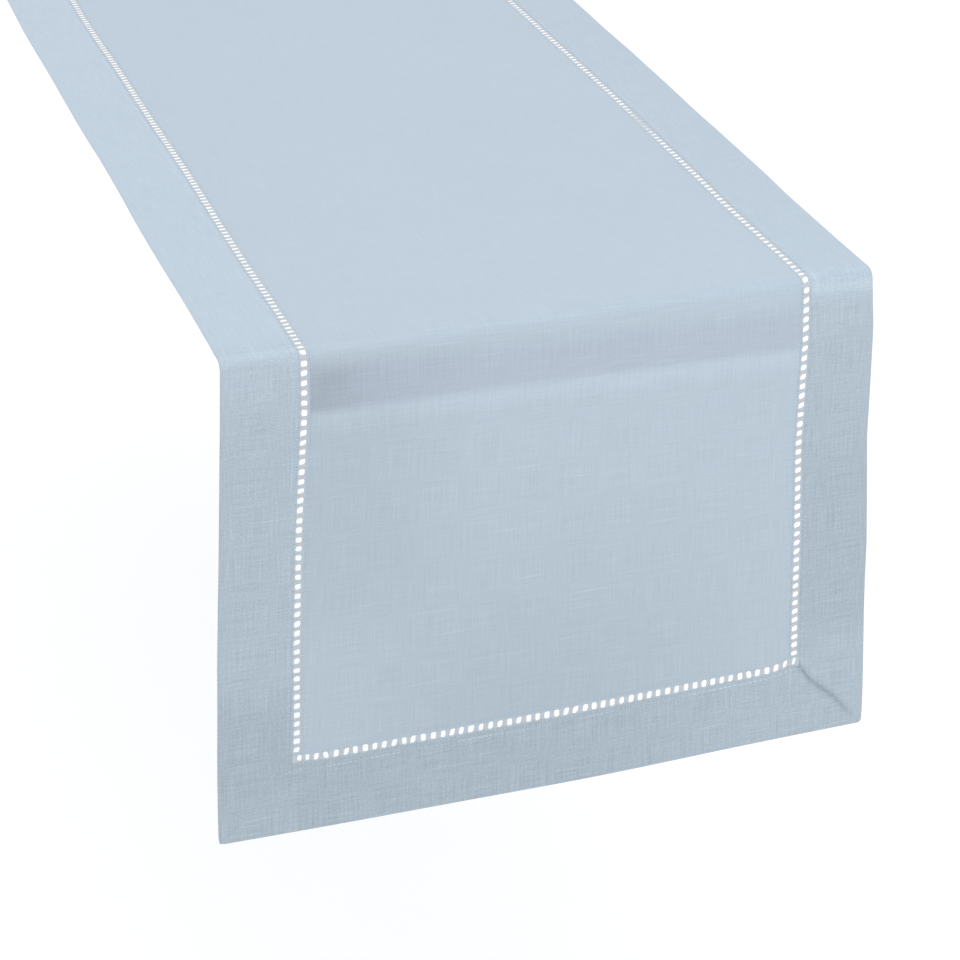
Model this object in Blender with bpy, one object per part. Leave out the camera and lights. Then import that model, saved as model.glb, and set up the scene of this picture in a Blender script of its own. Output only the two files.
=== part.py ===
"""A hemstitched linen table runner, laid along a table with both ends hanging over its edges.

Metres, +Z up. X runs across the runner, Y runs along it and Z points up from the table.
The origin is the middle of the runner's underside, where it lies on the table.

Every piece is drawn on the flat cloth first and then draped:
    u  across the cloth from its centre line
    s  along the cloth from its middle, negative towards the front end
    h  height above the cloth's underside
"""

from math import cos, pi, sin

import bmesh
import bpy

# ---- The runner, laid flat ----
WIDTH = 0.3556  # edge to edge, 14 in
LENGTH = 2.286  # end to end, 90 in
HEM = 0.0410  # outer edge to the middle of the drawn-thread ladder

# ---- The cloth ----
PANEL_THICK = 0.0006  # one layer
LAYER = 0.0005  # each layer of the folded hem
FOLD_GAP = 0.0003  # space between the hem's two layers
HEM_THICK = 2 * LAYER + FOLD_GAP
FOLD_STEPS = 4  # facets round the hem's folded edge

# ---- The drawn-thread ladder ----
LADDER_THICK = 0.0009
LADDER_WIDE = 0.0055  # the ladder with its whipped rails
END_ROW = 54  # windows across each end, corner windows included
END_WINDOW = (0.0043, 0.0030)  # a window of an end row, across the ladder and along it
SIDE_WINDOW = (0.00345, 0.00355)  # a window of a side row
SIDE_PITCH = 0.0055
KEY_EVERY = 4  # windows between two corners of a rail's straight outer edge

# ---- The drape ----
DROP = 0.2730  # the table's surface down to the hem's end
BEND = 0.0045  # the table edge's radius, under the cloth
BEND_STEPS = 8

# ---- Clearances ----
GAP = 0.0003  # between pieces of the same body
SWING_GAP = 0.0009  # between each bend and the drop hinged below it

END_PITCH = (WIDTH - 2 * HEM) / (END_ROW - 1)
ARC = BEND * pi / 2
S_END = LENGTH / 2
S_DROP = S_END - (DROP - BEND)  # where the straight drop starts
S_BEND = S_DROP - ARC  # where the cloth leaves the table
LADDER_OUT = HEM - LADDER_WIDE / 2
LADDER_IN = HEM + LADDER_WIDE / 2
HEM_IN = LADDER_OUT - GAP  # outer edge to the hem's inner edge
PANEL_EDGE = LADDER_IN + GAP  # outer edge to the centre panel's edge

LINEN = {
    "linen_panel": (0.56, 0.65, 0.735, 1.0),
    "linen_hem": (0.50, 0.585, 0.665, 1.0),
    "linen_thread": (0.60, 0.68, 0.76, 1.0),
}


def drape(u, s, h):
    """A point of the flat cloth, moved to where it lies on the table or hangs."""
    way = -1.0 if s < 0 else 1.0
    run = abs(s)
    if run <= S_BEND:
        return (u, s, h)
    if run <= S_DROP:
        a = (run - S_BEND) / BEND
        return (u, way * (S_BEND + (BEND + h) * sin(a)), (BEND + h) * cos(a) - BEND)
    return (u, way * (S_BEND + BEND + h), -BEND - (run - S_DROP))


def linen(slot):
    material = bpy.data.materials.get(slot)
    if material is None:
        material = bpy.data.materials.new(slot)
        material.use_nodes = True
        shader = material.node_tree.nodes["Principled BSDF"]
        shader.inputs["Base Color"].default_value = LINEN[slot]
        shader.inputs["Roughness"].default_value = 0.9
    return material


def add_piece(name, slot, points, faces):
    """One closed solid from draped points and faces, turned outward."""
    bm = bmesh.new()
    verts = [bm.verts.new(p) for p in points]
    for face in faces:
        bm.faces.new([verts[i] for i in face])
    bmesh.ops.recalc_face_normals(bm, faces=bm.faces)
    bmesh.ops.triangulate(bm, faces=bm.faces)
    mesh = bpy.data.meshes.new(name)
    bm.to_mesh(mesh)
    bm.free()
    mesh.materials.append(linen(slot))
    bpy.context.scene.collection.objects.link(bpy.data.objects.new(name, mesh))


def sweep(name, slot, section, stations, lengthwise=True):
    """A closed section of (across, height) points, carried through the stations.

    A station is a number, or a function of the section point's position where the cut is slanted.
    """
    points, faces = [], []
    for station in stations:
        for p, h in section:
            t = station(p) if callable(station) else station
            points.append(drape(p, t, h) if lengthwise else drape(t, p, h))
    n = len(section)
    for k in range(len(stations) - 1):
        for i in range(n):
            j = (i + 1) % n
            faces.append((k * n + i, k * n + j, (k + 1) * n + j, (k + 1) * n + i))
    faces.append(tuple(range(n)))
    faces.append(tuple(range((len(stations) - 1) * n, len(stations) * n)))
    add_piece(name, slot, points, faces)


def hem_section(edge, way):
    """A strip folded double: its fold is at `edge` and its two layers run inward, to `way`."""
    r = HEM_THICK / 2
    inner = edge + way * HEM_IN
    fold = [(edge + way * (r - r * sin(pi * k / FOLD_STEPS)), r - r * cos(pi * k / FOLD_STEPS))
            for k in range(FOLD_STEPS + 1)]
    slot_end = edge + way * r
    return (
        [(inner, 0.0)]
        + fold
        + [(inner, HEM_THICK), (inner, HEM_THICK - LAYER)]
        + [(slot_end, HEM_THICK - LAYER), (slot_end, LAYER), (inner, LAYER)]
    )


def ladder(name, middle, start, end, window, pitch, lengthwise=True, steps=0):
    """Two whipped rails joined by thread bars, with a window between every two bars.

    It holds as many windows as fit from start to end at about the given pitch. Steps are the
    facets along a ladder that bends.
    """
    across, along = window
    count = round((end - start) / pitch)
    edges = []
    for k in range(count):
        centre = start + (k + 0.5) * (end - start) / count
        edges += [centre - along / 2, centre + along / 2]
    cuts = [start] + edges + [end]
    if steps:
        fine = []
        for a, b in zip(cuts, cuts[1:]):
            parts = max(1, round((b - a) / (end - start) * steps))
            fine += [a + (b - a) * k / parts for k in range(parts)]
        cuts = fine + [end]
    holes = [(a, b) for a, b in zip(edges[0::2], edges[1::2])]
    open_at = [any(a - 1e-7 <= cuts[k] and cuts[k + 1] <= b + 1e-7 for a, b in holes)
               for k in range(len(cuts) - 1)]
    last = len(cuts) - 1
    if steps:
        keys = list(range(last + 1))
    else:
        keys = sorted({0, last} | {k for k in range(1, last, 2 * KEY_EVERY)})

    sides = (middle - LADDER_WIDE / 2, middle - across / 2, middle + across / 2, middle + LADDER_WIDE / 2)
    index, points = {}, []

    def point(k, side, top):
        key = (k, side, top)
        if key not in index:
            index[key] = len(points)
            h = LADDER_THICK if top else 0.0
            p, t = sides[side], cuts[k]
            points.append(drape(p, t, h) if lengthwise else drape(t, p, h))
        return index[key]

    faces = []
    for a, b in zip(keys, keys[1:]):
        inner = range(b, a - 1, -1)
        for outer_side, inner_side in ((0, 1), (3, 2)):
            for top in (0, 1):
                outer = [point(a, outer_side, top), point(b, outer_side, top)]
                faces.append(tuple(outer + [point(k, inner_side, top) for k in inner]))
            faces.append((point(a, outer_side, 0), point(b, outer_side, 0),
                          point(b, outer_side, 1), point(a, outer_side, 1)))
    for k in range(last):
        if open_at[k]:
            for side in (1, 2):
                faces.append((point(k, side, 0), point(k + 1, side, 0),
                              point(k + 1, side, 1), point(k, side, 1)))
        else:
            for top in (0, 1):
                faces.append((point(k, 1, top), point(k + 1, 1, top),
                              point(k + 1, 2, top), point(k, 2, top)))
        if k and open_at[k] != open_at[k - 1]:
            faces.append((point(k, 1, 0), point(k, 2, 0), point(k, 2, 1), point(k, 1, 1)))
    for k in (0, last):
        rim = [point(k, side, 0) for side in range(4)] + [point(k, side, 1) for side in (3, 2, 1, 0)]
        faces.append(tuple(rim))
    add_piece(name, "linen_thread", points, faces)


def plain_ladder(name, middle, start, end):
    """A ladder drawn as a closed strip: its rails and bars, with the windows left solid."""
    low, high = middle - LADDER_WIDE / 2, middle + LADDER_WIDE / 2
    section = [(low, 0.0), (high, 0.0), (high, LADDER_THICK), (low, LADDER_THICK)]
    sweep(name, "linen_thread", section, [start, end])


def panel_section():
    edge = WIDTH / 2 - PANEL_EDGE
    return [(-edge, 0.0), (edge, 0.0), (edge, PANEL_THICK), (-edge, PANEL_THICK)]


def main():
    for obj in list(bpy.data.objects):
        bpy.data.objects.remove(obj)

    half = WIDTH / 2
    sides = (("left", -half, 1.0), ("right", half, -1.0))
    side_ladders = {"left": -half + HEM, "right": half - HEM}

    # The part that lies on the table
    flat = S_BEND - GAP / 2
    sweep("centre_panel_top", "linen_panel", panel_section(), [-flat, flat])
    for side, edge, way in sides:
        sweep(f"{side}_hem_top", "linen_hem", hem_section(edge, way), [-flat, flat])
        plain_ladder(f"{side}_ladder_top", side_ladders[side], -flat, flat)

    for end, sign in (("front", -1.0), ("back", 1.0)):
        # The bend over the table's edge
        first, last = S_BEND + GAP / 2, S_DROP
        arc = [sign * (first + (last - first) * k / BEND_STEPS) for k in range(BEND_STEPS + 1)]
        sweep(f"centre_panel_{end}_bend", "linen_panel", panel_section(), arc)
        for side, edge, way in sides:
            sweep(f"{side}_hem_{end}_bend", "linen_hem", hem_section(edge, way), arc)
            low, high = min(arc), max(arc)
            ladder(f"{side}_ladder_{end}_bend", side_ladders[side], low, high,
                   SIDE_WINDOW, SIDE_PITCH, steps=12)

        # The drop that hangs below it
        first = S_DROP + SWING_GAP
        sweep(f"centre_panel_{end}", "linen_panel", panel_section(),
              [sign * first, sign * (S_END - PANEL_EDGE)])
        for side, edge, way in sides:
            sweep(f"{side}_hem_{end}", "linen_hem", hem_section(edge, way),
                  [sign * first,
                   lambda p, way=way, edge=edge: sign * (S_END - way * (p - edge) - GAP)])
            stop = S_END - LADDER_IN - GAP
            low, high = sorted((sign * first, sign * stop))
            ladder(f"{side}_ladder_{end}", side_ladders[side], low, high, SIDE_WINDOW, SIDE_PITCH)
        sweep(f"end_hem_{end}", "linen_hem", hem_section(sign * S_END, -sign),
              [lambda p: -half + (S_END - abs(p)), lambda p: half - (S_END - abs(p))],
              lengthwise=False)
        reach = END_ROW / 2 * END_PITCH
        ladder(f"end_ladder_{end}", sign * (S_END - HEM), -reach, reach, END_WINDOW, END_PITCH,
               lengthwise=False)


main()
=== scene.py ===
"""A hemstitched linen table runner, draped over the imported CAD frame.

The cloth is drawn flat and then draped, as in the CAD part:
    u  across the cloth from its centre line
    s  along the cloth from its middle, negative towards the front end
    h  height above the cloth's underside
"""

from math import cos, pi, radians, sin

import bmesh
import bpy
import numpy as np
from mathutils import Matrix, Vector


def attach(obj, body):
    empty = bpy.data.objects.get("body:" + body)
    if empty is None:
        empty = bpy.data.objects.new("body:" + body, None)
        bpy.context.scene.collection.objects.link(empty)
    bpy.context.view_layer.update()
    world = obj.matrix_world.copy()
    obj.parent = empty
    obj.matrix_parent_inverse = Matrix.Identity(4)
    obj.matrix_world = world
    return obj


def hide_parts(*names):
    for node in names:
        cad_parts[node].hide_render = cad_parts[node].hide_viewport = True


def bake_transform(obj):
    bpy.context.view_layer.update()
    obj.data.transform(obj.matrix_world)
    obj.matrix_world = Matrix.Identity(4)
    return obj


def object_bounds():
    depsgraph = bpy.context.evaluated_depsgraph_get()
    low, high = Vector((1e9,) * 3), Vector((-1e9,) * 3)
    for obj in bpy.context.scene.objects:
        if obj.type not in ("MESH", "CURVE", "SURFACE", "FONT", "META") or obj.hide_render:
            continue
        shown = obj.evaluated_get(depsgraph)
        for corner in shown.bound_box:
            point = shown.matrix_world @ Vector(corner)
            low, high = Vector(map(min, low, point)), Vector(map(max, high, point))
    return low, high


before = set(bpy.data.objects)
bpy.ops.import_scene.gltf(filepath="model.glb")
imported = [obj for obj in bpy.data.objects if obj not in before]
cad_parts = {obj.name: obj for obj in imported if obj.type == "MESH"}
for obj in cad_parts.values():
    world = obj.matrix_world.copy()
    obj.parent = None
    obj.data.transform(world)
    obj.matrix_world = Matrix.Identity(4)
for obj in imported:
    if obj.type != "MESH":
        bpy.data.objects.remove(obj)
cad_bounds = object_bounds()

# ---- The cloth, laid flat (metres) ----
HALF = round(cad_bounds[1].x, 5)  # half the runner's width, to a hundredth of a millimetre
WIDTH = 2 * HALF
LENGTH = 2.286  # end to end, as in the CAD part
SIDES = {"left": -1.0, "right": 1.0}
WAYS = {"front": -1.0, "back": 1.0}
HEM = 0.0410  # outer edge to the middle of the ladder
END_ROW = 54  # windows across each end, corner windows included
END_PITCH = (WIDTH - 2 * HEM) / (END_ROW - 1)
SIDE_PITCH = {"left": 0.0053, "right": 0.0056}
END_WINDOW = (0.0040, 0.0027)  # a window of an end row, across the ladder and along it
SIDE_WINDOW = (0.0032, 0.0030)  # a window of a side row
RAIL_EDGE = 0.00255  # the ladder's middle to the cloth's edge on each side of it
RAIL_UNDER = 0.0012  # how far the whipped rail goes on into the cloth
PANEL_EDGE = HEM + RAIL_EDGE
HEM_INNER = HEM - RAIL_EDGE
SEAM = 0.0356  # outer edge to the hem's stitch line

# ---- The drape ----
DROP = round(-cad_bounds[0].z, 5)  # the table's surface down to the cloth's end
BEND = 0.0045  # the table edge's radius, under the cloth
S_END = LENGTH / 2
S_DROP = S_END - (DROP - BEND)
S_BEND = S_DROP - BEND * pi / 2
HANG = S_END - S_DROP
SKEW = radians(1.55)  # the runner lies slightly askew to the table's edges
LEAN = 0.0064  # how far the cloth's end swings in under the table
TWIST = 0.0045  # how much further its right side swings in, and its left side less
# How far four lines of the cloth stray to the right of their straight places, in millimetres, at
# these distances past the fold
STATIONS = (-0.85, -0.60, -0.30, -0.12, 0.0, 0.035, 0.10, 0.17, 0.22, 0.27)
STRAY = (
    (-1.0, (0, -2.5, -1, 0, 1, 0, -3, -6.5, -8, -9)),  # the left edge
    (-0.77, (0, -1, 1.5, 2, 3, 2.5, -2, -5, -6, -7.5)),  # the left ladder
    (0.77, (0, 1, 1.5, -1, -0.5, 0.5, 0, 2.5, 4, 5.5)),  # the right ladder
    (1.0, (0, 0.5, -1.5, -4.5, -4.5, -2, -1, 3.5, 5, 6.5)),  # the right edge
)
SAG = 0.0155  # the share by which its left side hangs longer, and its right side shorter
CORNER_RADIUS = 0.0024  # at the cloth's own corners
HEM_SPREAD = 0.0014  # how much wider than the side hems the end hem is, on each side of its ladder
HEM_BOW = 0.0011  # how much wider the end hem is near its middle than at its ends
HEM_BOW_MIDDLE, HEM_BOW_REACH = 0.12, 0.42  # where it is widest, and over what part of the half width
PULL = 0.0013, 0.0030  # how far the mitres draw up the ladder's left and right corners
PULL_REACH = 0.05  # the part of the half width that they draw up
LIE = 0.00022  # how far the cloth stands off the table between its waves
HANG_WAVE, HANG_BOW = 0.0006, 0.0022  # the hanging end's waves, and how far its middle stands out
RIPPLE = 0.0005  # the side edges' own waves

# ---- Heights above the underside ----
PANEL_LOW, PANEL_HIGH = 0.00012, 0.00062
LADDER_MID, LADDER_HALF = 0.00052, 0.00034
HEM_HIGH = 0.00105

# ---- The mitres ----
# Each mitre: how far its hems round down towards it, and the share of their height left at the seam
MITRES = {"left": (0.0006, 0.97), "right": (0.0036, 0.62)}
MITRE_GAP = 0.000008
MITRE_ROOM = 0.045  # from the cloth's end to the last square station of a side hem
WANDER = 0.0010  # how far the right mitre's seam strays to each side
WANDER_START, WANDER_LONG = 0.0105, 0.030  # where it crosses its straight line, and over what length
WANDER_RISE = (0.004, 0.014)  # from the cloth's edge
WANDER_FADE = (HEM_INNER - 0.004, HEM_INNER)

# ---- The threads ----
THREAD_PITCH = 0.00052  # from one thread of the weave to the next
STRAND_PITCH = 0.00028  # from one strand of a bundle to the next
STITCH_RADIUS = 0.00012
SEAM_STITCH = 2.9  # millimetres from one stitch of the hem's seam to the next
SEAM_STRAY, SEAM_WAVE = 0.9, 600  # millimetres the seam strays to each side, and over what length


# ------------------------------------------------------------------ the drape
def waves(u, s, seed, longest, shortest, count=7):
    """A smooth, repeatable field between about -1 and 1."""
    rng = np.random.default_rng(seed)
    total = np.zeros(np.broadcast(u, s).shape)
    for _ in range(count):
        length = shortest * (longest / shortest) ** rng.random()
        turn, phase = rng.random() * pi, rng.random() * 2 * pi
        total += np.sin((u * np.cos(turn) + s * np.sin(turn)) * 2 * pi / length + phase)
    return total / count ** 0.5


def smooth(x, low, high):
    """0 up to low, 1 from high on, and a smooth step between them."""
    t = np.clip((x - low) / (high - low), 0, 1)
    return t * t * (3 - 2 * t)


def round_corners(u, s):
    """Pulls the square corners of the cloth into small rounded ones."""
    a = CORNER_RADIUS - (HALF - np.abs(u))
    b = CORNER_RADIUS - (S_END - np.abs(s))
    near = (a > 0) & (b > 0)
    far = np.where(near, np.maximum(np.hypot(a, b), 1e-9), 1.0)
    keep = np.where(near, np.maximum(a, b) / far, 1.0)
    return (np.where(near, np.sign(u) * (HALF - CORNER_RADIUS + a * keep), u),
            np.where(near, np.sign(s) * (S_END - CORNER_RADIUS + b * keep), s))


def drape(u, s, h):
    """Points of the flat cloth, moved to where they lie on the table or hang."""
    u, s, h = (np.array(x, float) for x in np.broadcast_arrays(u, s, h))
    u, s = round_corners(u, s)
    way, run = np.where(s < 0, -1.0, 1.0), np.abs(s)

    # seen from the end it hangs at: x to the right, y away, and how far it is past the fold
    x, y = -way * u, S_BEND - run
    past = x * sin(SKEW) - y * cos(SKEW)
    along = x * cos(SKEW) + y * sin(SKEW)
    across = x / HALF
    down = np.clip((past - BEND * pi / 2) / HANG, 0, 1)

    # slack: the cloth never lies quite flat, and its hanging end bows a little
    lying = 1 - smooth(past, -0.03, 0.0)
    h = h + lying * LIE * (1 + np.clip(waves(u, s, 11, 0.30, 0.07), -1, 1))
    hang = smooth(down, 0.0, 0.75)
    h = h + hang * (HANG_WAVE * waves(u, s, 23, 0.32, 0.10) + HANG_BOW * (0.45 - across ** 2))
    ripple = RIPPLE * np.sign(x) * np.abs(across) ** 3 * waves(0 * u, s, 37, 0.30, 0.08, 5)

    # round the table's edge, and down
    turn = np.clip(past / BEND, 0, pi / 2)
    out = (BEND + h) * np.sin(turn)
    z = np.where(past <= 0, h, (BEND + h) * np.cos(turn) - BEND)
    hung = np.maximum(past - BEND * pi / 2, 0) * (1 - SAG * across)
    in_hem = np.clip((run - S_END + HEM) / HEM, 0, 1)
    to_hem = np.clip(hung / (HANG - HEM), 0, 1)
    hung = hung + HEM_SPREAD * (in_hem - (1 - in_hem) * to_hem * (1 + across))
    hung = hung + HEM_BOW * in_hem * np.exp(-((across - HEM_BOW_MIDDLE) / HEM_BOW_REACH) ** 2)
    corner = np.exp(-((1 - HEM / HALF - np.abs(across)) / PULL_REACH) ** 2)
    hung = hung - corner * to_hem ** 6 * (1 - in_hem) * np.where(across < 0, *PULL)
    z = np.where(hung > 0, -BEND - hung, z)
    x = np.where(past <= 0, x, along * cos(SKEW) + out * sin(SKEW))
    y = np.where(past <= 0, y, along * sin(SKEW) - out * cos(SKEW))

    # a few millimetres to the left or right of where a straight cloth would be
    places = [place for place, _ in STRAY]
    for k, (place, offsets) in enumerate(STRAY):
        share = np.interp(across, places, np.eye(len(places))[k])
        x = x + share * np.interp(past, STATIONS, offsets) / 1000
    x = x + ripple
    y = y + (LEAN + TWIST * across) * down
    return np.stack([-way * x, way * (S_BEND - y), z], axis=-1)


# ------------------------------------------------------------------ meshes
def add_mesh(name, points, faces, maps, sharp=()):
    """A mesh with UV maps given per vertex, smooth except along the faces in `sharp`."""
    mesh = bpy.data.meshes.new(name)
    mesh.from_pydata(points.reshape(-1, 3).tolist(), [], faces)
    loops = np.empty(len(mesh.loops), int)
    mesh.loops.foreach_get("vertex_index", loops)
    for label, values in maps.items():
        layer = mesh.uv_layers.new(name=label)
        layer.data.foreach_set("uv", values.reshape(-1, 2)[loops].astype(np.float32).ravel())
    mesh.polygons.foreach_set("use_smooth", [True] * len(mesh.polygons))
    bm = bmesh.new()
    bm.from_mesh(mesh)
    bmesh.ops.recalc_face_normals(bm, faces=bm.faces)
    bm.faces.ensure_lookup_table()
    for i in sharp:
        for edge in bm.faces[i].edges:
            edge.smooth = False
    bm.to_mesh(mesh)
    bm.free()
    obj = bpy.data.objects.new(name, mesh)
    bpy.context.scene.collection.objects.link(obj)
    return obj


def tube(name, section, stations, lengthwise=True, hug=None):
    """A closed section of (across, height) points carried through the stations.

    stations is an array of (station, section point) positions along the piece.
    hug scales the heights, for the rounded ends at a mitre.
    """
    p, h = section[:, 0], section[:, 1]
    count, n = stations.shape
    across = np.broadcast_to(p, (count, n))
    height = np.broadcast_to(h, (count, n)) if hug is None else hug * h
    u, s = (across, stations) if lengthwise else (stations, across)
    points = drape(u, s, height)
    faces = []
    for k in range(count - 1):
        a, b = k * n, (k + 1) * n
        faces += [(a + i, a + (i + 1) % n, b + (i + 1) % n, b + i) for i in range(n)]
    faces.append(tuple(range(n)))
    faces.append(tuple(range((count - 1) * n, count * n)))
    edge = HALF - np.abs(u) if lengthwise else S_END - np.abs(s)
    along = s if lengthwise else u
    maps = {"cloth": np.stack([u, s], -1), "hem": np.stack([edge, along], -1)}
    return add_mesh(name, points, faces, maps, sharp=(len(faces) - 2, len(faces) - 1))


def spaced(first, last, step, fine=0.0009, margin=0.009):
    """Positions from first to last, close together in the bend and a margin on each side of it."""
    low, high = sorted((first, last))
    marks = [low]
    while marks[-1] < high:
        at = abs(marks[-1] + 1e-6)
        near = S_BEND - margin < at < S_DROP + margin
        marks.append(min(high, marks[-1] + (fine if near else step)))
    return np.array(marks)


def panel(name, sign, count=60):
    """Half of the centre panel: one layer, from the cloth's middle to its end ladder."""
    edge = HALF - PANEL_EDGE
    lip = np.array([(edge, 0.00036), (edge - 0.00015, 0.00050), (edge - 0.0005, 0.00058),
                    (edge - 0.0012, PANEL_HIGH)])
    columns = np.linspace(-edge + 0.003, edge - 0.003, count)
    top = np.stack([columns, np.full(count, PANEL_HIGH)], -1)
    low = np.stack([columns[::-3], np.full(count // 3, PANEL_LOW)], -1)
    section = np.concatenate([lip * (-1, 1), top, lip[::-1], [(edge - 0.0003, PANEL_LOW)], low,
                              [(-edge + 0.0003, PANEL_LOW)]])
    rows = spaced(0.0, sign * (S_END - PANEL_EDGE), 0.004)
    return tube(name, section, np.repeat(rows[:, None], len(section), axis=1))


def hem_profile():
    """(distance from the outer edge, height) round the folded hem, from its inner edge."""
    inner, high = HEM_INNER, HEM_HIGH
    top = [(inner, 0.00046), (inner - 0.00012, 0.00064), (inner - 0.0004, 0.00078),
           (inner - 0.0009, 0.00088), (inner - 0.0016, 0.00094), (inner - 0.0024, 0.00098),
           (inner - 0.0040, 0.00103)]
    top += [(d / 1000, high) for d in (32, 28.5, 25, 21.5, 18, 14.5, 11, 8, 5.5)]
    top += [(0.0035, 0.00110), (0.0020, 0.00112), (0.0011, 0.00108), (0.0005, 0.00094),
            (0.00014, 0.00076), (0.0, 0.00055)]
    low = [(0.00014, 0.00030), (0.0005, 0.00010), (0.0012, 0.00002), (0.003, 0.0)]
    low += [(d / 1000, 0.0) for d in (8, 14, 20, 26, 32, 35)]
    low += [(inner - 0.0006, 0.00004), (inner - 0.00015, 0.0002)]
    return np.array(top + low)


def rounded_end(side_name, d, count=8):
    """The last stations before a mitre: how far off each is, and how much height is left there.

    The groove is deepest at the ladder's corner and runs out towards the cloth's corner.
    """
    reach, least = MITRES[side_name]
    least = 1 - (1 - least) * smooth(d, 0.001, 0.016)
    for off in (reach * np.linspace(1, 0, count) ** 1.3)[1:]:
        yield off, least + (1 - least) * sin(pi / 2 * off / reach)


def wander(d, side_name):
    """The mitre seams aren't sewn quite straight."""
    size = WANDER if side_name == "right" else WANDER / 3
    wave = np.sin((d - WANDER_START) * 2 * pi / WANDER_LONG)
    return size * wave * smooth(d, *WANDER_RISE) * (1 - smooth(d, *WANDER_FADE))


def side_hem(name, side_name, sign):
    """Half of a side hem, from the cloth's middle to the mitre at its end corner."""
    side = SIDES[side_name]
    profile = hem_profile()
    d = profile[:, 0]
    section = np.stack([side * (HALF - d), profile[:, 1]], -1)
    long = S_END - d - MITRE_GAP - wander(d, side_name)  # where the section meets the mitre
    reach = MITRES[side_name][0]
    rows = np.sort(np.abs(spaced(0.0, sign * (S_END - MITRE_ROOM), 0.0035)))
    stations = [np.full(len(d), r) for r in rows]
    hug = [np.ones(len(d))] * len(rows)
    for t in np.linspace(0, 1, 13)[1:]:
        stations.append(rows[-1] + (long - reach - rows[-1]) * t)
        hug.append(np.ones(len(d)))
    for off, left in rounded_end(side_name, d):
        stations.append(long - off)
        hug.append(left)
    return tube(name, section, sign * np.array(stations), hug=np.array(hug))


def end_hem(name, sign, count=64):
    """The hem across one end, mitred to both side hems."""
    profile = hem_profile()
    d = profile[:, 0]
    section = np.stack([sign * (S_END - d), profile[:, 1]], -1)
    halves = {}
    for side_name, side in SIDES.items():
        long = HALF - d - MITRE_GAP + wander(d, side_name)
        reach = MITRES[side_name][0]
        stations = [(long - reach) * t for t in np.linspace(0, 1, count)]
        hug = [np.ones(len(d))] * count
        for off, left in rounded_end(side_name, d):
            stations.append(long - off)
            hug.append(left)
        halves[side_name] = side * np.array(stations), np.array(hug)
    (left, left_hug), (right, right_hug) = halves["left"], halves["right"]
    return tube(name, section, np.concatenate([left[:0:-1], right]), lengthwise=False,
                hug=np.concatenate([left_hug[:0:-1], right_hug]))


# Round one cell of a ladder: its window in the middle, half a bundle on each side
RING = [(-1, -1), (-1, -.5), (-1, 0), (-1, .5), (-1, 1), (-.5, 1), (0, 1), (.5, 1),
        (1, 1), (1, .5), (1, 0), (1, -.5), (1, -1), (.5, -1), (0, -1), (-.5, -1)]
# From a window's edge outward: the share of the way to the cell's edge, and of the full height
ROUNDING = ((0.0, 0.0), (0.12, 0.45), (0.28, 0.62), (0.52, 0.42))
# The windows at the ends of an end row: their length and width beside the others', and their own shape
CORNER_WINDOWS = {
    0: (0.85, 0.80, {"power": 2.6, "shift": 0.0016}),  # small and round
    1: (0.80, 0.84, {}),
    END_ROW - 2: (0.80, 0.84, {}),
    END_ROW - 1: (0.60, 0.95, {"lean": 0.22, "shift": -0.0006}),  # narrow and slanted
}
PLAIN_WINDOW = (1.0, 1.0, {})
FLAT_SHUT = 0.86  # the side windows' length where the cloth lies flat, beside that where it hangs
PINCH_SHUT, PINCH_REACH = 0.70, 0.024  # how far a pinch shuts the windows, and how far along


def window_outline(rng, half_long, half_wide, slant, shut, corner):
    """Where one window's edge is from its centre, along and across the ladder.

    It is a rounded square, a little different each time.
    """
    ring = np.array(RING, float)
    angle = np.arctan2(ring[:, 1], ring[:, 0])
    half_long = half_long * (1 + rng.normal() * 0.05) * shut
    half_wide = half_wide * (1 + rng.normal() * 0.03)
    shape = {"power": 3.2 + rng.random() * 1.6, "lean": slant + rng.normal() * 0.09,
             "shift": rng.normal() * 0.00010}
    long_share, wide_share, own_shape = corner
    shape.update(own_shape)
    jitter = 1 + rng.normal(size=len(angle)) * 0.018
    power = shape["power"]
    size = (np.abs(np.cos(angle)) ** power + np.abs(np.sin(angle)) ** power) ** (-1 / power)
    x = half_long * long_share * size * np.cos(angle) * jitter + shape["shift"]
    y = half_wide * wide_share * size * np.sin(angle) * jitter
    return x + shape["lean"] * y, y


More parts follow.
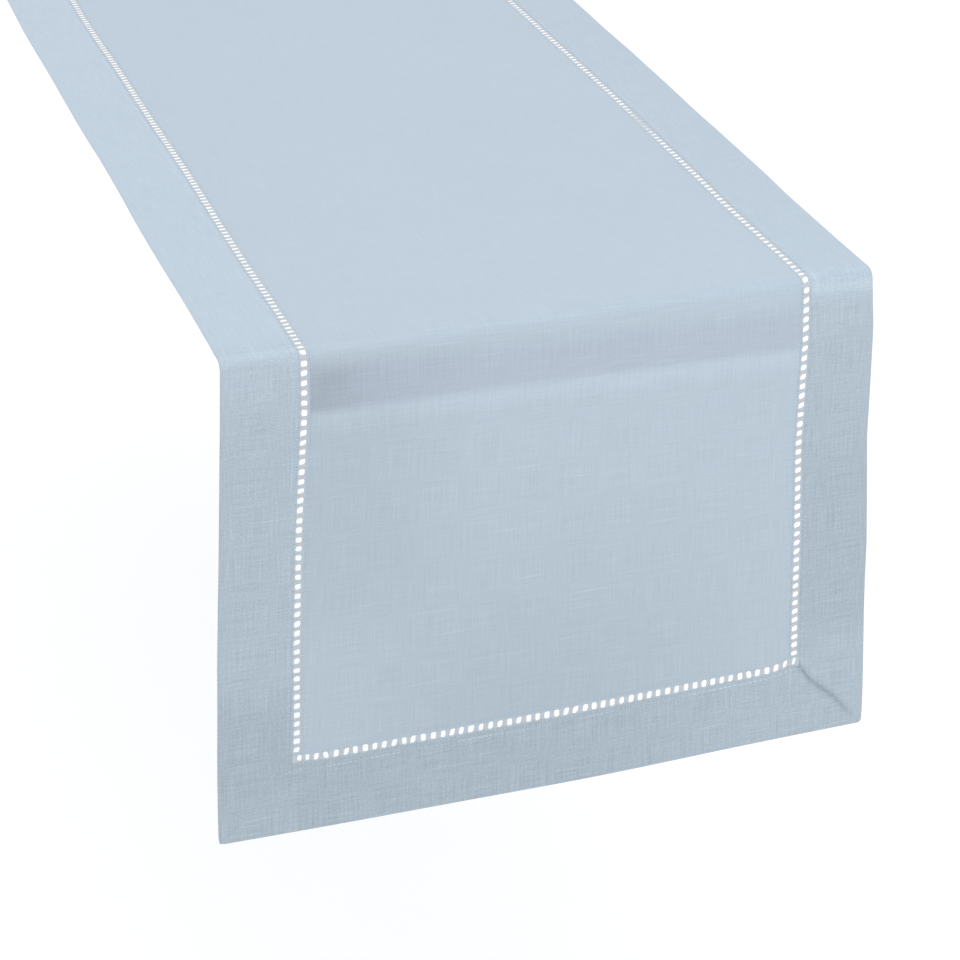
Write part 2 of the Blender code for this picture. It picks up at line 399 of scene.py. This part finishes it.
def ladder(name, middle, starts, window, lengthwise, seed, slant=0.0, corners=False, pinch=None):
    """A strip of thread bundles: starts are the bundle positions, with a window between two.

    The windows are drawn nearly shut around pinch, a place along the ladder.
    """
    rng = np.random.default_rng(seed)
    half_width = RAIL_EDGE + RAIL_UNDER
    usual = np.mean(np.abs(np.diff(starts))) / 2
    ring = np.array(RING, float)
    cells = len(starts) - 1
    along, across, height, faces = [], [], [], []
    n, rings = len(RING), len(ROUNDING) + 1
    for k in range(cells):
        centre, reach = (starts[k] + starts[k + 1]) / 2, (starts[k + 1] - starts[k]) / 2
        half_long = window[1] / 2 * min(reach, usual * 1.15) / usual
        shut = 1.0
        if lengthwise:
            shut = np.interp(abs(centre), (S_BEND - 0.010, S_BEND), (FLAT_SHUT, 1.0))
        if pinch is not None:
            shut = shut * (1 - PINCH_SHUT * np.exp(-((centre - pinch) / PINCH_REACH) ** 2))
        corner = CORNER_WINDOWS.get(k, PLAIN_WINDOW) if corners else PLAIN_WINDOW
        x, y = window_outline(rng, half_long, window[0] / 2, slant, shut, corner)
        edge_x, edge_y = ring[:, 0] * reach, ring[:, 1] * half_width
        base = len(along) * n
        for side in (1, -1):
            for mix, rise in ROUNDING:
                along.append(centre + x + (edge_x - x) * mix)
                across.append(y + (edge_y - y) * mix)
                height.append(np.full(n, LADDER_MID + side * LADDER_HALF * rise))
            along.append(centre + edge_x)
            across.append(edge_y)
            last_way = int(k == cells - 1) - int(k == 0)  # the ladder's own ends are turned down too
            outermost = ring[:, 0] * last_way > 0.99
            rim = np.where((np.abs(ring[:, 1]) > 0.99) | outermost, -0.3, side)
            height.append(LADDER_MID + LADDER_HALF * rim)
            first = base + (0 if side == 1 else rings * n)
            for level in range(rings - 1):
                p, q = first + level * n, first + (level + 1) * n
                faces += [(p + i, p + (i + 1) % n, q + (i + 1) % n, q + i) for i in range(n)]
    along, across, height = (np.concatenate(v) for v in (along, across, height))
    u, s = (middle + across, along) if lengthwise else (along, middle + across)
    maps = {"cloth": np.stack([u, s], -1), "thread": np.stack([along, across], -1)}
    obj = add_mesh(name, drape(u, s, height), faces, maps)
    bm = bmesh.new()
    bm.from_mesh(obj.data)
    bmesh.ops.remove_doubles(bm, verts=bm.verts, dist=2e-6)
    bmesh.ops.recalc_face_normals(bm, faces=bm.faces)
    bm.to_mesh(obj.data)
    bm.free()
    return obj


def bundles(count, first, last, seed, wander=0.00016):
    """Bundle positions from first to last, each a little out of its even place."""
    rng = np.random.default_rng(seed)
    marks = np.linspace(first, last, count + 1)
    marks[1:-1] += rng.normal(size=count - 1) * wander
    return marks


def end_bundles(seed):
    """The end row's bundles. Its first window, at the corner, takes more room than the next."""
    marks = bundles(END_ROW, -END_ROW / 2 * END_PITCH, END_ROW / 2 * END_PITCH, seed)
    marks += (np.arange(END_ROW + 1) == 1) * 0.0009
    marks[0], marks[-1] = marks[0] - 0.0012, marks[-1] + 0.0012  # under the side hems
    return marks


def stitches(name, rows, seed, n=6):
    """Short whip stitches of sewing thread: rows of (u, s, du, ds, height) for each stitch."""
    rng = np.random.default_rng(seed)
    around = np.arange(n) * 2 * pi / n
    # along the stitch: how far, how thick and how high
    shape = ((0.0, 0.35, -0.3), (0.12, 0.85, 0.35), (0.5, 1.0, 0.75), (0.88, 0.85, 0.35),
             (1.0, 0.35, -0.3))
    points, faces, uv = [], [], []
    for u, s, du, ds, h in rows:
        du, ds = du + rng.normal() * 0.00010, ds + rng.normal() * 0.00010
        long = np.hypot(du, ds)
        side = np.array([-ds, du]) / long
        base = len(points) * n
        for t, wide, lift in shape:
            off = np.cos(around) * STITCH_RADIUS * wide
            points.append(drape(u + du * t + side[0] * off, s + ds * t + side[1] * off,
                                h + STITCH_RADIUS * (lift + np.sin(around) * wide)))
            uv.append(np.stack([np.full(n, long * t), off], -1))
        last = len(shape) - 1
        for k in range(last):
            p, q = base + n * k, base + n * (k + 1)
            faces += [(p + i, p + (i + 1) % n, q + (i + 1) % n, q + i) for i in range(n)]
        faces += [tuple(base + i for i in range(n)), tuple(base + last * n + i for i in range(n))]
    return add_mesh(name, np.array(points), faces, {"thread": np.array(uv)})


# ------------------------------------------------------------------ materials
class Shader:
    """A Principled material and short names for the nodes that feed it."""

    def __init__(self, name):
        self.material = bpy.data.materials.new(name)
        self.material.use_nodes = True
        self.tree = self.material.node_tree
        self.surface = self.tree.nodes["Principled BSDF"]

    def feed(self, socket, value):
        if isinstance(value, bpy.types.NodeSocket):
            self.tree.links.new(value, socket)
        else:
            socket.default_value = value

    def math(self, operation, a, b=0.0, c=0.0):
        node = self.tree.nodes.new("ShaderNodeMath")
        node.operation = operation
        for socket, value in zip(node.inputs, (a, b, c)):
            self.feed(socket, value)
        return node.outputs[0]

    def uv(self, name, scale=(1.0, 1.0), turn=0.0):
        """The map, turned and then multiplied by the scale."""
        node = self.tree.nodes.new("ShaderNodeUVMap")
        node.uv_map = name
        place = self.tree.nodes.new("ShaderNodeMapping")
        place.vector_type = "TEXTURE"
        place.inputs["Scale"].default_value = (1 / scale[0], 1 / scale[1], 1.0)
        place.inputs["Rotation"].default_value = (0.0, 0.0, turn)
        self.tree.links.new(node.outputs[0], place.inputs["Vector"])
        return place.outputs[0]

    def axes(self, vector):
        """The first two parts of a vector."""
        node = self.tree.nodes.new("ShaderNodeSeparateXYZ")
        self.tree.links.new(vector, node.inputs[0])
        return node.outputs[0], node.outputs[1]

    def noise(self, vector, detail=2.0, rough=0.5):
        node = self.tree.nodes.new("ShaderNodeTexNoise")
        node.inputs["Scale"].default_value = 1.0
        node.inputs["Detail"].default_value = detail
        node.inputs["Roughness"].default_value = rough
        self.tree.links.new(vector, node.inputs["Vector"])
        return node.outputs[0]

    def span(self, value, low, high, to_low=0.0, to_high=1.0):
        """A smooth step from to_low, up to low, to to_high, from high on."""
        node = self.tree.nodes.new("ShaderNodeMapRange")
        node.interpolation_type = "SMOOTHSTEP"
        for label, x in (("Value", value), ("From Min", low), ("From Max", high),
                         ("To Min", to_low), ("To Max", to_high)):
            self.feed(node.inputs[label], x)
        return node.outputs[0]

    def tint(self, colour, factor):
        """The colour, times a factor near 1."""
        node = self.tree.nodes.new("ShaderNodeVectorMath")
        node.operation = "SCALE"
        self.feed(node.inputs[0], colour)
        self.feed(node.inputs["Scale"], factor)
        return node.outputs[0]

    def mix(self, factor, colour, other):
        """Two colours mixed: the first at 0 and the other at 1."""
        node = self.tree.nodes.new("ShaderNodeMix")
        node.data_type = "RGBA"
        self.feed(node.inputs["Factor"], factor)
        for socket, value in zip([x for x in node.inputs if x.type == "RGBA"], (colour, other)):
            self.feed(socket, (*value, 1.0) if isinstance(value, tuple) else value)
        return next(x for x in node.outputs if x.type == "RGBA")

    def bump(self, height, distance, strength=1.0, under=None):
        node = self.tree.nodes.new("ShaderNodeBump")
        node.inputs["Distance"].default_value = distance
        node.inputs["Strength"].default_value = strength
        self.tree.links.new(height, node.inputs["Height"])
        if under is not None:
            self.tree.links.new(under, node.inputs["Normal"])
        return node.outputs[0]


def weave_pattern(m):
    """The height of the threads, passing over and under each other and never quite straight."""
    wander = m.noise(m.uv("cloth", (90, 90)), 2.0)
    x, y = m.axes(m.uv("cloth", (1 / THREAD_PITCH, 1 / THREAD_PITCH)))
    sine_x = m.math("SINE", m.math("MULTIPLY", m.math("MULTIPLY_ADD", wander, 2.4, x), pi))
    sine_y = m.math("SINE", m.math("MULTIPLY", m.math("MULTIPLY_ADD", wander, -2.4, y), pi))
    over = m.math("MULTIPLY", sine_x, sine_y)
    warp = m.math("MULTIPLY", m.math("ABSOLUTE", sine_x), m.math("MULTIPLY_ADD", over, 0.4, 0.6))
    weft = m.math("MULTIPLY", m.math("ABSOLUTE", sine_y), m.math("MULTIPLY_ADD", over, -0.4, 0.6))
    return m.math("MAXIMUM", warp, weft)


def cloth_grain(m, along, contrast, fine, hem):
    """The shade and height of the cloth: its weave, uneven threads, slubs and mottle."""
    weave = weave_pattern(m)
    # uneven threads: long streaks, one thread or a few wide
    streak = m.math("ADD", m.noise(m.uv("cloth", (fine, 40)), 2.0, 0.6),
                    m.noise(m.uv("cloth", (40, fine)), 2.0, 0.6))
    # slubs: a few thick, paler threads, short along the weft and longer along the warp
    weft_slub = m.span(m.noise(m.uv("cloth", (24, 640)), 1.0), 0.66, 0.76)
    warp_slub = m.span(m.noise(m.uv("cloth", (640, 17)), 1.0), 0.68, 0.78)
    slub = m.math("MAXIMUM", weft_slub, m.math("MULTIPLY", warp_slub, 0.6))
    patch = m.noise(m.uv("cloth", (9, 9)), 2.0)
    mottle = m.noise(m.uv("cloth", (1400, 1400)), 1.0, 0.7)

    grain = m.math("MULTIPLY", m.math("SUBTRACT", streak, 1.0), 0.20 * contrast)
    blotch = 0.17 if hem else 0.22
    grain = m.math("MULTIPLY_ADD", m.math("SUBTRACT", mottle, 0.5), blotch * contrast, grain)
    grain = m.math("MULTIPLY_ADD", m.math("SUBTRACT", weave, 0.72), 0.13 * contrast, grain)
    if hem:
        # two layers of weave, one seen faintly through the other
        twill = m.noise(m.uv("cloth", (2300, 420), turn=0.72), 1.0)
        grain = m.math("MULTIPLY_ADD", m.math("SUBTRACT", twill, 0.5), 0.15 * contrast, grain)
    grain = m.math("MULTIPLY_ADD", slub, 0.075, grain)
    # the weave stands out more where the cloth hangs with the light behind it
    clear = m.span(along, S_BEND - 0.02, S_DROP, 0.62, 1.0)
    shade = m.math("MULTIPLY_ADD", grain, clear, 1.0)
    shade = m.math("MULTIPLY_ADD", m.math("SUBTRACT", patch, 0.5), 0.03, shade)
    height = m.math("MULTIPLY_ADD", slub, 0.8, weave)
    height = m.math("MULTIPLY_ADD", m.math("SUBTRACT", streak, 1.0), 1.2, height)
    return shade, height


def fold_light(m, shade, u, s, along, hem):
    """A painted highlight where the cloth catches the light on the fold, and a little darker painted
    shade in a band below it.

    Gives the shade, and where that band of painted shade is.
    """
    lit = m.math("MULTIPLY", m.span(along, S_BEND, S_BEND + 0.003),
                 m.span(along, S_DROP - 0.002, S_DROP + 0.003, 1.0, 0.0))
    below = m.math("MULTIPLY", m.span(along, S_DROP + 0.001, S_DROP + (0.008 if hem else 0.015)),
                   m.span(along, S_DROP + 0.029, S_DROP + (0.060 if hem else 0.035), 1.0, 0.0))
    if hem:
        light, deep = m.span(u, -HALF, HALF, 0.045, 0.085), m.span(u, -HALF, HALF, 0.015, 0.050)
    else:  # in front the painted shade is darkest near the left ladder
        light = 0.015
        deep = m.math("MULTIPLY_ADD", m.span(u, -0.130, -0.095, 0.085, 0.0),
                      m.math("LESS_THAN", s, 0.0), 0.062)
        # and painted light makes it palest where that band of painted shade ends
        pale = m.math("MULTIPLY", m.span(along, S_DROP + 0.028, S_DROP + 0.033),
                      m.span(along, S_DROP + 0.035, S_DROP + 0.046, 1.0, 0.0))
        shade = m.math("MULTIPLY_ADD", pale, 0.050, shade)
    shade = m.math("MULTIPLY_ADD", lit, light, shade)
    return m.math("SUBTRACT", shade, m.math("MULTIPLY", below, deep)), below


def hem_light(m, shade, u, along):
    """Painted light makes the two layers paler on the table, and painted shade darkens the right hem
    lower down, where it turns away from the light.
    """
    # painted light: the hems are paler on the table and just past the fold
    shade = m.math("ADD", shade, m.span(along, S_BEND, S_DROP + 0.06, 0.095, 0.0))
    # painted shade lower down the right hem
    turned = m.math("MULTIPLY", m.span(along, S_DROP + 0.035, S_DROP + 0.125, 0.0, 0.062),
                    m.span(along, S_DROP + 0.195, S_DROP + 0.222, 1.0, 0.0))
    shade = m.math("SUBTRACT", shade, m.math("MULTIPLY", turned, m.math("GREATER_THAN", u, 0.0)))
    # painted light on the left hem and painted shade on the right one, where they lie on the table
    sideways = m.math("MULTIPLY", m.span(u, -HALF, HALF, 0.024, -0.026),
                      m.span(along, S_BEND - 0.020, S_BEND, 1.0, 0.0))
    return m.math("ADD", shade, sideways)


def panel_light(m, shade, u, along):
    """Painted shade on the hanging panel: darker low down in its middle, and down its left part."""
    low = m.span(along, S_DROP + 0.06, S_END - HEM + 0.01, 0.0, 0.085)
    low = m.math("MULTIPLY", low, m.span(m.math("ABSOLUTE", u), 0.015, 0.135, 1.0, 0.12))
    shade = m.math("SUBTRACT", shade, low)
    # painted shade down the left part of the hanging panel
    left = m.math("MULTIPLY", m.span(u, -0.110, -0.030, 0.062, 0.0),
                  m.span(along, S_DROP, S_DROP + 0.012))
    left = m.math("MULTIPLY", left, m.span(along, S_DROP + 0.105, S_DROP + 0.185, 1.0, 0.12))
    return m.math("SUBTRACT", shade, left)


def panel_hue(m, colour, u, along, below):
    """Bluer beside the ladders, where the threads are drawn together, and purpler in the band of
    painted shade below the fold.
    """
    side, end = HALF - PANEL_EDGE, S_END - PANEL_EDGE
    beside_side = m.span(m.math("ABSOLUTE", u), side - 0.0042, side - 0.0020)
    beside_end = m.span(along, end - 0.0040, end - 0.0018)
    bluer = (colour[0] * 0.975, colour[1] * 0.992, colour[2])
    hue = m.mix(m.math("MAXIMUM", beside_side, beside_end), colour, bluer)
    # the band of painted shade below the fold is also tinted purpler
    return m.mix(below, hue, (colour[0] * 1.008, colour[1] * 0.980, colour[2] * 1.008))


def linen(name, colour, contrast, fine, hem=False):
    """Plain-woven linen. fine is how many uneven threads there are to a metre."""
    m = Shader(name)
    u, s = m.axes(m.uv("cloth"))
    along = m.math("ABSOLUTE", s)
    shade, height = cloth_grain(m, along, contrast, fine, hem)
    shade, below = fold_light(m, shade, u, s, along, hem)
    if hem:
        shade = hem_light(m, shade, u, along)
        shade, height = hem_seam(m, shade, height)
        shade = mitre_shade(m, shade)
        hue = colour
    else:
        shade = panel_light(m, shade, u, along)
        hue = panel_hue(m, colour, u, along, below)

    # the part on the table is a touch bluer
    colder = tuple(c * k for c, k in zip(colour, (0.991, 0.991, 1.014)))
    hue = m.mix(m.span(along, S_BEND - 0.002, S_DROP), colder, hue)
    m.feed(m.surface.inputs["Base Color"], m.tint(hue, shade))
    m.surface.inputs["Roughness"].default_value = 0.88
    m.surface.inputs["Sheen Weight"].default_value = 0.12
    m.surface.inputs["Sheen Roughness"].default_value = 0.45
    m.surface.inputs["Specular IOR Level"].default_value = 0.25
    m.feed(m.surface.inputs["Normal"], m.bump(height, 0.00005, 0.55))
    return m.material


def hem_seam(m, shade, height):
    """The hem's stitch line: small stitches of paler thread, not quite parallel to the ladder."""
    d, along = m.axes(m.uv("hem", (1000, 1000)))  # in millimetres
    line = m.math("MULTIPLY_ADD", m.math("SINE", m.math("MULTIPLY", along, 2 * pi / SEAM_WAVE)),
                  SEAM_STRAY, SEAM * 1000)
    off = m.math("ABSOLUTE", m.math("SUBTRACT", d, line))
    # clear across the end hems, which are shorter than this each way, and faint along the side hems
    clear = m.span(m.math("ABSOLUTE", along), 180, 220, 1.0, 0.35)
    on_line = m.math("MULTIPLY", m.span(off, 0.22, 0.46, 1.0, 0.0), clear)
    broken = m.span(m.noise(m.uv("hem", (60, 60)), 1.0), 0.40, 0.56, 0.25, 1.0)
    step = m.math("FRACT", m.math("DIVIDE", along, SEAM_STITCH))
    step = m.math("ABSOLUTE", m.math("SUBTRACT", step, 0.5))
    stitch = m.math("MULTIPLY", m.math("MULTIPLY", on_line, broken),
                    m.span(step, 0.36, 0.44, 1.0, 0.0))
    # painted shade in the needle holes between the stitches
    hole_shade = m.math("MULTIPLY", on_line, m.span(step, 0.40, 0.46, 0.0, 1.0))
    shade = m.math("MULTIPLY_ADD", stitch, 0.19, shade)
    shade = m.math("MULTIPLY_ADD", hole_shade, -0.12, shade)
    return shade, m.math("MULTIPLY_ADD", stitch, 1.5, height)


def mitre_shade(m, shade):
    """Painted shade at the folded-in corners: soft and dark along the right mitre, and faint along the
    left.
    """
    u, s = m.axes(m.uv("cloth"))
    right = m.math("GREATER_THAN", u, 0.0)
    left = m.math("SUBTRACT", 1.0, right)
    a = m.math("SUBTRACT", HALF, m.math("ABSOLUTE", u))  # from the side edge
    b = m.math("SUBTRACT", S_END, m.math("ABSOLUTE", s))  # from the end edge

    # painted shade along the right mitre's groove, which follows its wandering seam
    wave = m.math("SINE", m.math("MULTIPLY", m.math("SUBTRACT", a, WANDER_START),
                                 2 * pi / WANDER_LONG))
    seam = m.math("MULTIPLY", wave, m.math("MULTIPLY", m.span(a, *WANDER_RISE),
                                           m.span(a, *WANDER_FADE, WANDER, 0.0)))
    off = m.math("ABSOLUTE", m.math("SUBTRACT", m.math("SUBTRACT", b, a), seam))
    groove = m.math("MULTIPLY_ADD", m.span(off, 0.0004, 0.0028, 1.0, 0.0), 1.15,
                    m.span(off, 0.0, 0.0064, 1.0, 0.0))
    groove = m.math("MULTIPLY", groove, m.span(a, 0.001, 0.016, 0.0, 0.10))
    shade = m.math("SUBTRACT", shade, m.math("MULTIPLY", groove, right))

    # painted shade: the end hem is darker, up to the right mitre, and past the left one, which is
    # tucked under
    end_hem = m.math("MULTIPLY", m.math("MULTIPLY", m.math("LESS_THAN", b, a), right),
                     m.span(u, 0.020, 0.125, 0.072, 0.016))
    shade = m.math("SUBTRACT", shade, end_hem)
    tucked = m.math("MULTIPLY", m.span(b, 0.012, 0.034, 0.6, 1.0),
                    m.span(b, 0.064, 0.092, 0.078, 0.0))
    beyond = m.math("MULTIPLY", m.span(a, HEM - 0.0010, HEM + 0.0006), m.math("LESS_THAN", b, HEM))
    plain_shade = m.span(u, -0.135, -0.110, 0.088, 0.072)
    tucked = m.math("MULTIPLY_ADD", m.math("SUBTRACT", plain_shade, tucked), beyond, tucked)
    return m.math("SUBTRACT", shade, m.math("MULTIPLY", tucked, left))


def bundle_thread(name, colour, rail_colour):
    """Drawn threads gathered into bundles: fine strands running across the ladder."""
    m = Shader(name)
    wander = m.noise(m.uv("thread", (700, 260)), 2.0)
    x = m.axes(m.uv("thread", (1 / STRAND_PITCH, 1 / STRAND_PITCH)))[0]
    x = m.math("MULTIPLY_ADD", wander, 5.0, m.math("MULTIPLY", x, pi))
    strand = m.math("ABSOLUTE", m.math("SINE", x))
    uneven = m.noise(m.uv("thread", (190, 190)), 2.0)
    shade = m.math("MULTIPLY_ADD", m.math("SUBTRACT", strand, 0.6), 0.12, 1.0)
    shade = m.math("MULTIPLY_ADD", m.math("SUBTRACT", uneven, 0.5), 0.14, shade)
    on_rail = m.span(m.math("ABSOLUTE", m.axes(m.uv("thread"))[1]), 0.0016, 0.0023)
    m.feed(m.surface.inputs["Base Color"], m.tint(m.mix(on_rail, colour, rail_colour), shade))
    m.surface.inputs["Roughness"].default_value = 0.8
    m.surface.inputs["Sheen Weight"].default_value = 0.15
    m.surface.inputs["Specular IOR Level"].default_value = 0.3
    m.feed(m.surface.inputs["Normal"], m.bump(strand, 0.00008, 0.7))
    return m.material


PANEL_LINEN = linen("linen_panel", (0.408, 0.485, 0.553), contrast=1.0, fine=1500)
HEM_LINEN = linen("linen_hem", (0.380, 0.454, 0.518), contrast=1.95, fine=1900, hem=True)
THREAD = bundle_thread("linen_thread", (0.462, 0.514, 0.567), (0.398, 0.478, 0.545))
SEWING_THREAD = bundle_thread("sewing_thread", (0.640, 0.700, 0.745), (0.640, 0.700, 0.745))


def dress(obj, material, end, stands_for, bends=True):
    """Gives a piece its material and hides the CAD nodes it stands for.

    One that bends has its placing baked into its mesh, and any other is attached to the drop.
    """
    obj.data.materials.append(material)
    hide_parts(*stands_for)
    if bends:
        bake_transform(obj)
    else:
        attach(obj, f"{end}_drop")
    return obj


def lengthwise_nodes(piece, end):
    """The CAD nodes that one half of a lengthwise piece replaces."""
    return [f"{piece}_{end}", f"{piece}_{end}_bend", f"{piece}_top"]


WHIP_CLEAR = 0.0002  # from a window's edge to the start of its whip stitch
WHIP_BITE = 0.0011  # how far past the rail's edge the stitch goes into the cloth
WHIP_SLANT = 0.0005  # how far along the ladder a stitch leans
HEM_STITCH_HIGH = 0.00090  # above the underside, at the hem's inner edge


def whip_rows(middle, starts, window, lengthwise, inner_way):
    """Two stitches at each bundle: one into the hem, one into the panel."""
    rows = []
    for at in starts[1:-1]:
        for way, height in ((inner_way, PANEL_HIGH), (-inner_way, HEM_STITCH_HIGH)):
            start = middle + way * (window[0] / 2 + WHIP_CLEAR)
            reach = way * (RAIL_EDGE + WHIP_BITE - window[0] / 2)
            if lengthwise:
                rows.append((start, at - WHIP_SLANT / 2, reach, WHIP_SLANT, height))
            else:
                rows.append((at - WHIP_SLANT / 2, start, WHIP_SLANT, reach, height))
    return rows


PINCH = 0.272  # how far in from the front fold the right ladder's windows are drawn nearly shut


def side_pieces(end, side_name, seed):
    """A side hem and its ladder, and the rows of their whip stitches."""
    sign, side = WAYS[end], SIDES[side_name]
    hem = dress(side_hem(f"{side_name}_hem_{end}", side_name, sign), HEM_LINEN, end,
                lengthwise_nodes(f"{side_name}_hem", end))
    last = S_END - HEM - RAIL_EDGE
    count = round(last / SIDE_PITCH[side_name])
    marks = sign * bundles(count, 0.0, last, seed + int(side * 7))
    middle = side * (HALF - HEM)
    pinch = -S_BEND + PINCH if (end, side_name) == ("front", "right") else None
    row = ladder(f"{side_name}_ladder_{end}", middle, marks, SIDE_WINDOW, True, seed + int(side * 3),
                 slant=-sign * (0.17 + 0.11 * side), pinch=pinch)
    dress(row, THREAD, end, lengthwise_nodes(f"{side_name}_ladder", end))
    return [hem, row], whip_rows(middle, marks, SIDE_WINDOW, True, -side)


def end_pieces(end, seed):
    """The end hem and its ladder, and the rows of their whip stitches."""
    sign = WAYS[end]
    hem = dress(end_hem(f"end_hem_{end}", sign), HEM_LINEN, end, [f"end_hem_{end}"],
                bends=False)
    marks = end_bundles(seed + 31)
    middle = sign * (S_END - HEM)
    row = ladder(f"end_ladder_{end}", middle, marks, END_WINDOW, False, seed + 41,
                 slant=-sign * 0.08, corners=True)
    dress(row, THREAD, end, [f"end_ladder_{end}"], bends=False)
    return [hem, row], whip_rows(middle, marks, END_WINDOW, False, -sign)


def half_runner(end, seed):
    """Everything from the runner's middle to one end."""
    cloth = dress(panel(f"centre_panel_{end}", WAYS[end]), PANEL_LINEN, end,
                  lengthwise_nodes("centre_panel", end))
    pieces, rows = [], []
    for more_pieces, more_rows in (side_pieces(end, "left", seed), side_pieces(end, "right", seed),
                                   end_pieces(end, seed)):
        pieces += more_pieces
        rows += more_rows
    whip = stitches(f"whip_stitches_{end}", rows, seed + 51)
    pieces.append(dress(whip, SEWING_THREAD, end, []))


half_runner("front", seed=100)
half_runner("back", seed=200)


# ------------------------------------------------------------------ stage, light, camera
def plain(name, colour):
    material = bpy.data.materials.new(name)
    material.use_nodes = True
    shader = material.node_tree.nodes["Principled BSDF"]
    shader.inputs["Base Color"].default_value = (*colour, 1.0)
    shader.inputs["Roughness"].default_value = 1.0
    shader.inputs["Specular IOR Level"].default_value = 0.0
    return material


def floor(z=-0.75, reach=9.0):
    mesh = bpy.data.meshes.new("floor")
    corners = [(-reach, -reach, z), (reach, -reach, z), (reach, reach, z), (-reach, reach, z)]
    mesh.from_pydata(corners, [], [(0, 1, 2, 3)])
    mesh.materials.append(plain("floor_white", (0.99, 0.99, 0.99)))
    obj = bpy.data.objects.new("floor", mesh)
    bpy.context.scene.collection.objects.link(obj)


def softbox(name, place, target, size, power):
    light = bpy.data.lights.new(name, "AREA")
    light.shape = "RECTANGLE"
    light.size, light.size_y = size
    light.energy = power
    obj = bpy.data.objects.new(name, light)
    obj.location = place
    obj.rotation_euler = (Vector(target) - Vector(place)).to_track_quat("-Z", "Y").to_euler()
    bpy.context.scene.collection.objects.link(obj)


CAMERA_PLACE = (-0.44820, -S_BEND - 1.48244, 0.61566)
CAMERA_TURN, CAMERA_DOWN, CAMERA_ROLL = -15.297, 24.574, -1.868  # degrees
CAMERA_LENS, SENSOR = 122.4, 36.0  # millimetres


def main_camera():
    """A long lens to the left of the front end, looking down along the runner."""
    data = bpy.data.cameras.new("camera")
    data.sensor_width = SENSOR
    data.lens = CAMERA_LENS
    camera = bpy.data.objects.new("camera", data)
    turn = (Matrix.Rotation(radians(CAMERA_TURN), 4, "Z")
            @ Matrix.Rotation(radians(90 - CAMERA_DOWN), 4, "X")
            @ Matrix.Rotation(radians(CAMERA_ROLL), 4, "Z"))
    camera.matrix_world = Matrix.Translation(CAMERA_PLACE) @ turn
    bpy.context.scene.collection.objects.link(camera)
    bpy.context.scene.camera = camera


floor()
world = bpy.data.worlds.new("studio")
bpy.context.scene.world = world
world.use_nodes = True
world.node_tree.nodes["Background"].inputs["Color"].default_value = (1.0, 1.0, 1.0, 1.0)
world.node_tree.nodes["Background"].inputs["Strength"].default_value = 1.075
softbox("overhead", (-0.4, -0.2, 2.4), (0.0, 0.0, 0.0), (2.2, 2.2), 12.0)
softbox("key", (0.38, -S_BEND - 0.65, 0.36), (0.08, -S_BEND, -0.08), (0.5, 0.5), 1.3)
main_camera()
bpy.context.scene.view_settings.view_transform = "Standard"
